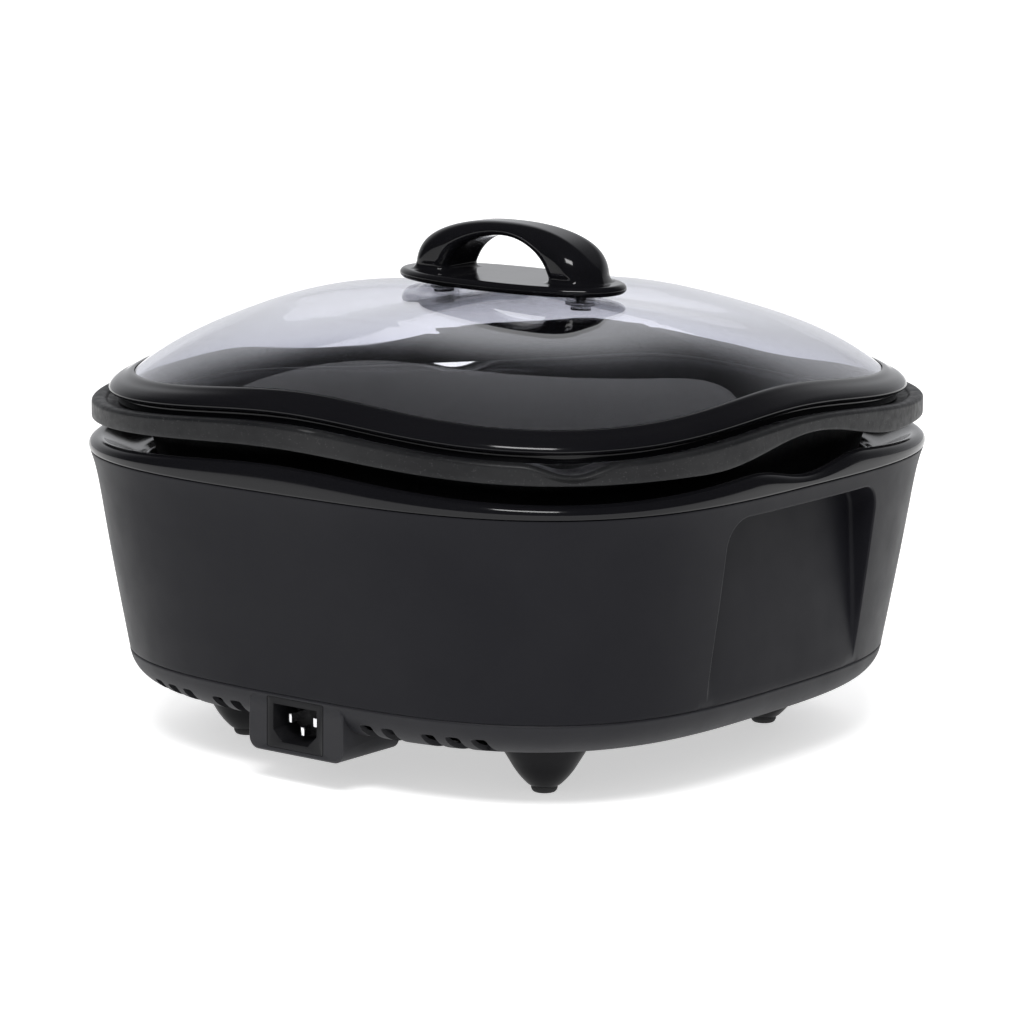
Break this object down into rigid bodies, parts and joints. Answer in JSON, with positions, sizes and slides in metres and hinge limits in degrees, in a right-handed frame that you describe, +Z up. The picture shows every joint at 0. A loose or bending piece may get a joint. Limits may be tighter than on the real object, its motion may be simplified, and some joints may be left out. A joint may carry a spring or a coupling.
{
  "type": "slow cooker",
  "caption": "Squared countertop slow cooker with a lift-out cast pot with a wavy rim and pour spouts, a domed glass lid, a sprung temperature probe and a front control panel.",
  "frame": {"origin": "centre of the footprint, on the floor plane under the feet", "axes": "+Z up, -Y towards the control panel at the front, +Y towards the mains inlet at the back"},
  "size_m": [0.327, 0.333, 0.2315],
  "materials": {
    "clear_glass": "polished",
    "gloss_black": "gloss",
    "black_rubber": "matte",
    "bright_steel": "polished",
    "pot_coating": "satin textured non-stick coating",
    "body_plastic": "satin",
    "base_plastic": "matte",
    "foot_plastic": "matte",
    "plated_steel": "plated",
    "insulator_black": "matte",
    "sheet_steel": "brushed",
    "cast_aluminium": "machined",
    "dark_steel": "oxidised",
    "ceramic_white": "matte",
    "brass_metal": "satin",
    "board_green": "satin",
    "relay_blue": "satin",
    "winding_yellow": "satin",
    "nylon_white": "satin",
    "display_lens": "gloss",
    "display_grey": "satin",
    "dial_silver": "satin metallic",
    "button_silver": "satin metallic",
    "indicator_amber": "gloss",
    "lead_brown": "satin",
    "lead_white": "satin",
    "lead_grey": "satin"
  },
  "bodies": {
    "root": {"bezel_ring": "gloss_black", "body_shell": "body_plastic", "base_shell": "base_plastic", "base_screws": "plated_steel", "foot_front_left": "foot_plastic", "foot_front_right": "foot_plastic", "foot_rear_left": "foot_plastic", "foot_rear_right": "foot_plastic", "pad_front_left": "black_rubber", "pad_front_right": "black_rubber", "pad_rear_left": "black_rubber", "pad_rear_right": "black_rubber", "inlet_socket": "insulator_black", "inlet_blades": "bright_steel", "inner_liner": "sheet_steel", "heat_shield": "sheet_steel", "heating_plate": "cast_aluminium", "heating_element": "dark_steel", "plate_standoffs": "ceramic_white", "plate_screws": "plated_steel", "probe_housing": "ceramic_white", "probe_spring": "plated_steel", "thermal_fuse": "brass_metal", "power_board": "board_green", "relay": "relay_blue", "transformer": "winding_yellow", "capacitor": "insulator_black", "board_posts": "nylon_white", "front_fascia": "gloss_black", "display_window": "display_lens", "display_module": "display_grey", "control_board": "board_green", "tact_switches": "insulator_black", "dial_encoder": "plated_steel", "indicator_lenses": "indicator_amber", "panel_screws": "plated_steel", "mains_leads": "lead_brown", "element_leads": "lead_white", "control_cable": "lead_grey"},
    "pot": {"cooking_pot": "pot_coating"},
    "lid": {"lid_glass": "clear_glass", "lid_rim": "gloss_black", "lid_handle": "gloss_black", "handle_gaskets": "black_rubber", "handle_washers": "bright_steel", "handle_screws": "bright_steel"},
    "probe": {"probe_cap": "cast_aluminium"},
    "dial": {"control_dial": "dial_silver"},
    "menu_key": {"menu_button": "button_silver"},
    "temperature_key": {"temperature_button": "button_silver"},
    "timer_key": {"timer_button": "button_silver"},
    "start_key": {"start_button": "button_silver"}
  },
  "joints": [
    {"name": "pot_lift", "type": "slide", "parent": "root", "child": "pot", "axis": [0, 0, 1], "range_m": [0, 0.15]},
    {"name": "lid_lift", "type": "slide", "parent": "pot", "child": "lid", "axis": [0, 0, 1], "range_m": [0, 0.12]},
    {"name": "probe_press", "type": "slide", "parent": "root", "child": "probe", "axis": [0, 0, 1], "range_m": [-0.0025, 0], "stiffness_N_per_m": 600, "deforming": ["probe_spring"]},
    {"name": "dial_turn", "type": "hinge", "parent": "root", "child": "dial", "pos_m": [0, -0.15782, 0.082], "axis": [0, -0.9871, -0.1599], "continuous": true},
    {"name": "menu_press", "type": "slide", "parent": "root", "child": "menu_key", "axis": [0, 0.9871, 0.1599], "range_m": [0, 0.001], "stiffness_N_per_m": 400},
    {"name": "temperature_press", "type": "slide", "parent": "root", "child": "temperature_key", "axis": [0, 0.9871, 0.1599], "range_m": [0, 0.001], "stiffness_N_per_m": 400},
    {"name": "timer_press", "type": "slide", "parent": "root", "child": "timer_key", "axis": [0, 0.9871, 0.1599], "range_m": [0, 0.001], "stiffness_N_per_m": 400},
    {"name": "start_press", "type": "slide", "parent": "root", "child": "start_key", "axis": [0, 0.9871, 0.1599], "range_m": [0, 0.001], "stiffness_N_per_m": 400}
  ]
}
